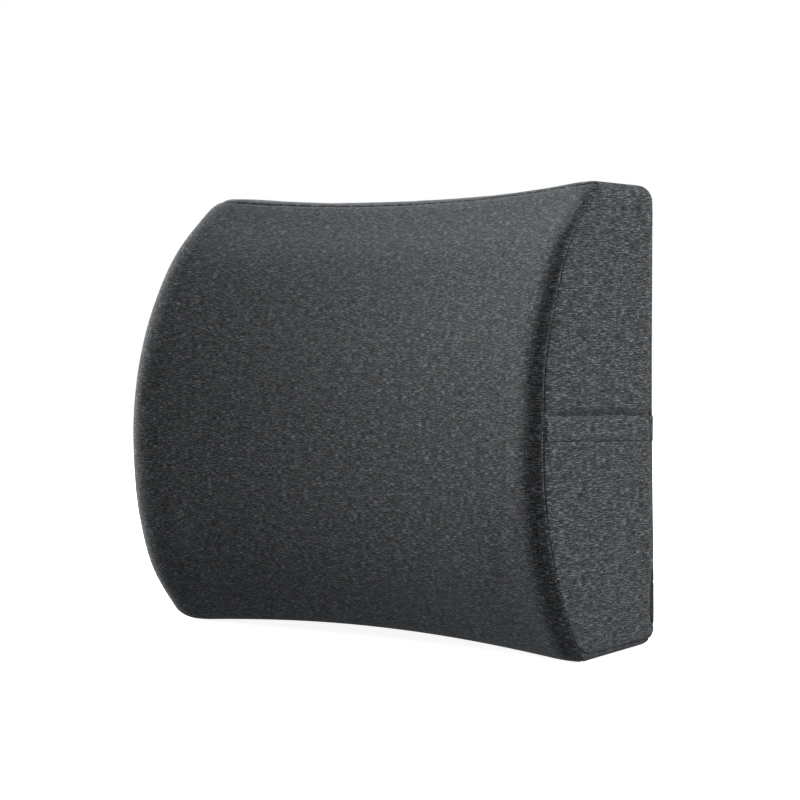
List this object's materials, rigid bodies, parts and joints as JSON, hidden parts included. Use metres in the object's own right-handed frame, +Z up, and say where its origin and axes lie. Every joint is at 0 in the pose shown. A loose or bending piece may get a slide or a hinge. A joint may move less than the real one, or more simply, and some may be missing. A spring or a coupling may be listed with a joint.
{
  "type": "lumbar support cushion",
  "caption": "Foam lumbar cushion with a hollowed front, zip-off heather cover, flat mesh back and an elastic strap with a side-release buckle.",
  "frame": {"origin": "middle of the footprint, at the height of the lowest edge", "axes": "+Z up, +X to the right when looking at the hollowed front, front towards -Y, flat back towards +Y"},
  "size_m": [0.3688, 0.1682, 0.32],
  "materials": {
    "memory_foam": "open-cell slow-recovery foam, matt",
    "liner_knit": "thin white knitted liner",
    "heather_knit": "charcoal heather knit with fine sideways flecks",
    "back_mesh": "black spacer mesh",
    "zip_tape": "woven black tape",
    "zip_coil": "black nylon teeth",
    "zip_metal": "black painted zinc",
    "webbing": "black elastic webbing, ribbed",
    "buckle_plastic": "black moulded acetal, satin"
  },
  "bodies": {
    "cushion": {"foam_core": "memory_foam", "inner_liner": "liner_knit", "front_panel": "heather_knit", "top_panel": "heather_knit", "bottom_panel": "heather_knit", "side_panel_right": "heather_knit", "side_panel_left": "heather_knit", "side_band_right": "heather_knit", "side_band_left": "heather_knit", "back_panel": "back_mesh", "back_hem": "back_mesh", "zipper_tape_upper": "zip_tape", "zipper_tape_lower": "zip_tape", "zipper_coil_upper": "zip_coil", "zipper_coil_lower": "zip_coil", "zipper_top_stops": "zip_metal", "zipper_bottom_stop": "zip_metal", "strap_left": "webbing", "strap_right": "webbing", "buckle_socket": "buckle_plastic"},
    "zip_slider": {"zipper_slider": "zip_metal"},
    "zip_pull": {"zipper_pull": "zip_metal"},
    "plug": {"buckle_plug": "buckle_plastic"},
    "prong_upper": {"prong_upper": "buckle_plastic"},
    "prong_lower": {"prong_lower": "buckle_plastic"},
    "keeper": {"strap_keeper": "webbing"}
  },
  "joints": [
    {"name": "zip_slide", "type": "slide", "parent": "cushion", "child": "zip_slider", "axis": [-1, 0, 0], "range_m": [0, 0.268]},
    {"name": "pull_flip", "type": "hinge", "parent": "zip_slider", "child": "zip_pull", "pos_m": [0.136, 0.07771, 0.046], "axis": [0, 0, -1], "range_deg": [0, 170]},
    {"name": "buckle_release", "type": "slide", "parent": "cushion", "child": "plug", "axis": [1, 0, 0], "range_m": [0, 0.032], "deforming": ["strap_right", "prong_upper", "prong_lower"]},
    {"name": "prong_upper_squeeze", "type": "hinge", "parent": "plug", "child": "prong_upper", "pos_m": [0.0106, 0.07961, 0.1604], "axis": [0, -1, 0], "range_deg": [0, 8], "stiffness_Nm_per_rad": 0.6},
    {"name": "prong_lower_squeeze", "type": "hinge", "parent": "plug", "child": "prong_lower", "pos_m": [0.0106, 0.07961, 0.1424], "axis": [0, 1, 0], "range_deg": [0, 8], "stiffness_Nm_per_rad": 0.6},
    {"name": "keeper_slide", "type": "slide", "parent": "plug", "child": "keeper", "axis": [1, 0, 0], "range_m": [0, 0.032]}
  ]
}
